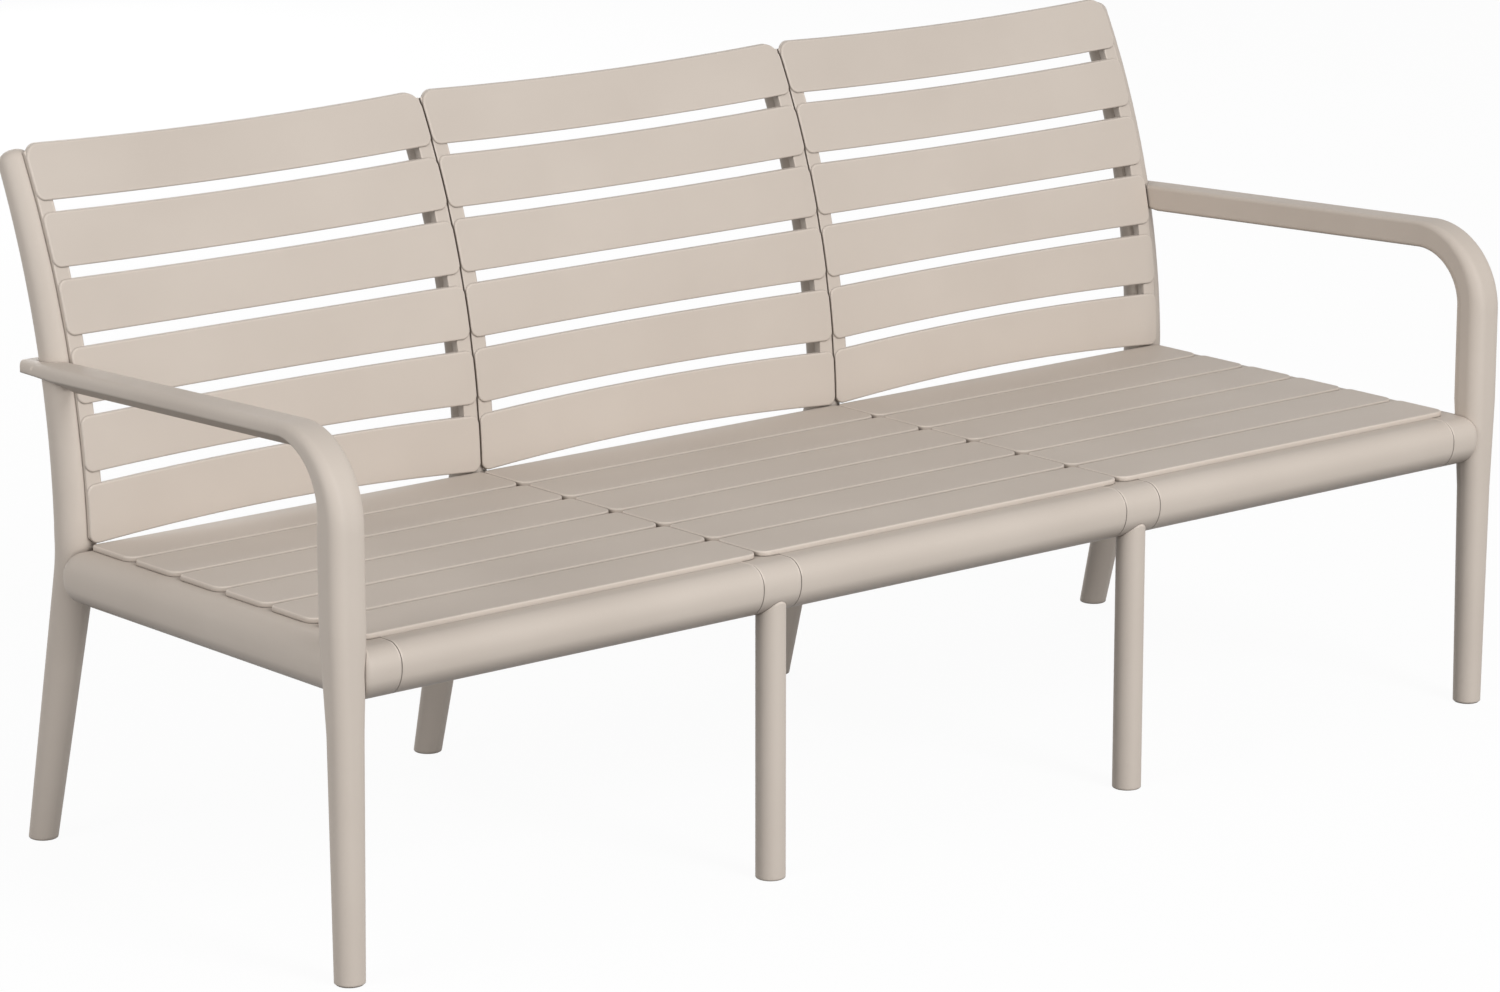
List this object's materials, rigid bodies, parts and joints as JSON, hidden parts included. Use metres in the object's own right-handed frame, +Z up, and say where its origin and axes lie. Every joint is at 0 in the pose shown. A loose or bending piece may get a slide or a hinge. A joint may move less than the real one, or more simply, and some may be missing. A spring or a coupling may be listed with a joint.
{
  "type": "outdoor sofa",
  "caption": "Moulded resin garden sofa with a slatted seat, curved slatted back panels, flat-topped arms that turn down into the front legs, and tapered legs.",
  "frame": {"origin": "on the floor, under the middle of the bounding box", "axes": "+X along the sofa to the right of someone facing it, +Y towards the back, +Z up; the sitter faces -Y"},
  "size_m": [1.7862, 0.7173, 0.8222],
  "materials": {
    "resin": "satin-matte moulded taupe resin with a fine grain",
    "steel": "stainless fasteners",
    "glide": "darker hard-wearing plastic"
  },
  "bodies": {
    "root": {"right_back_post": "resin", "right_middle_post": "resin", "right_arm_front_leg": "resin", "right_side_rail": "resin", "right_middle_rail": "resin", "right_middle_front_leg": "resin", "center_seat_panel": "resin", "center_back_panel": "resin", "right_seat_panel": "resin", "right_back_panel": "resin", "left_back_post": "resin", "left_middle_post": "resin", "left_arm_front_leg": "resin", "left_side_rail": "resin", "left_middle_rail": "resin", "left_middle_front_leg": "resin", "left_seat_panel": "resin", "left_back_panel": "resin", "back_screw_caps": "resin", "seat_screws": "steel", "back_screws": "steel", "arm_screws": "steel", "rail_bolts": "steel", "leg_bolts": "steel", "foot_glides": "glide"}
  },
  "joints": []
}
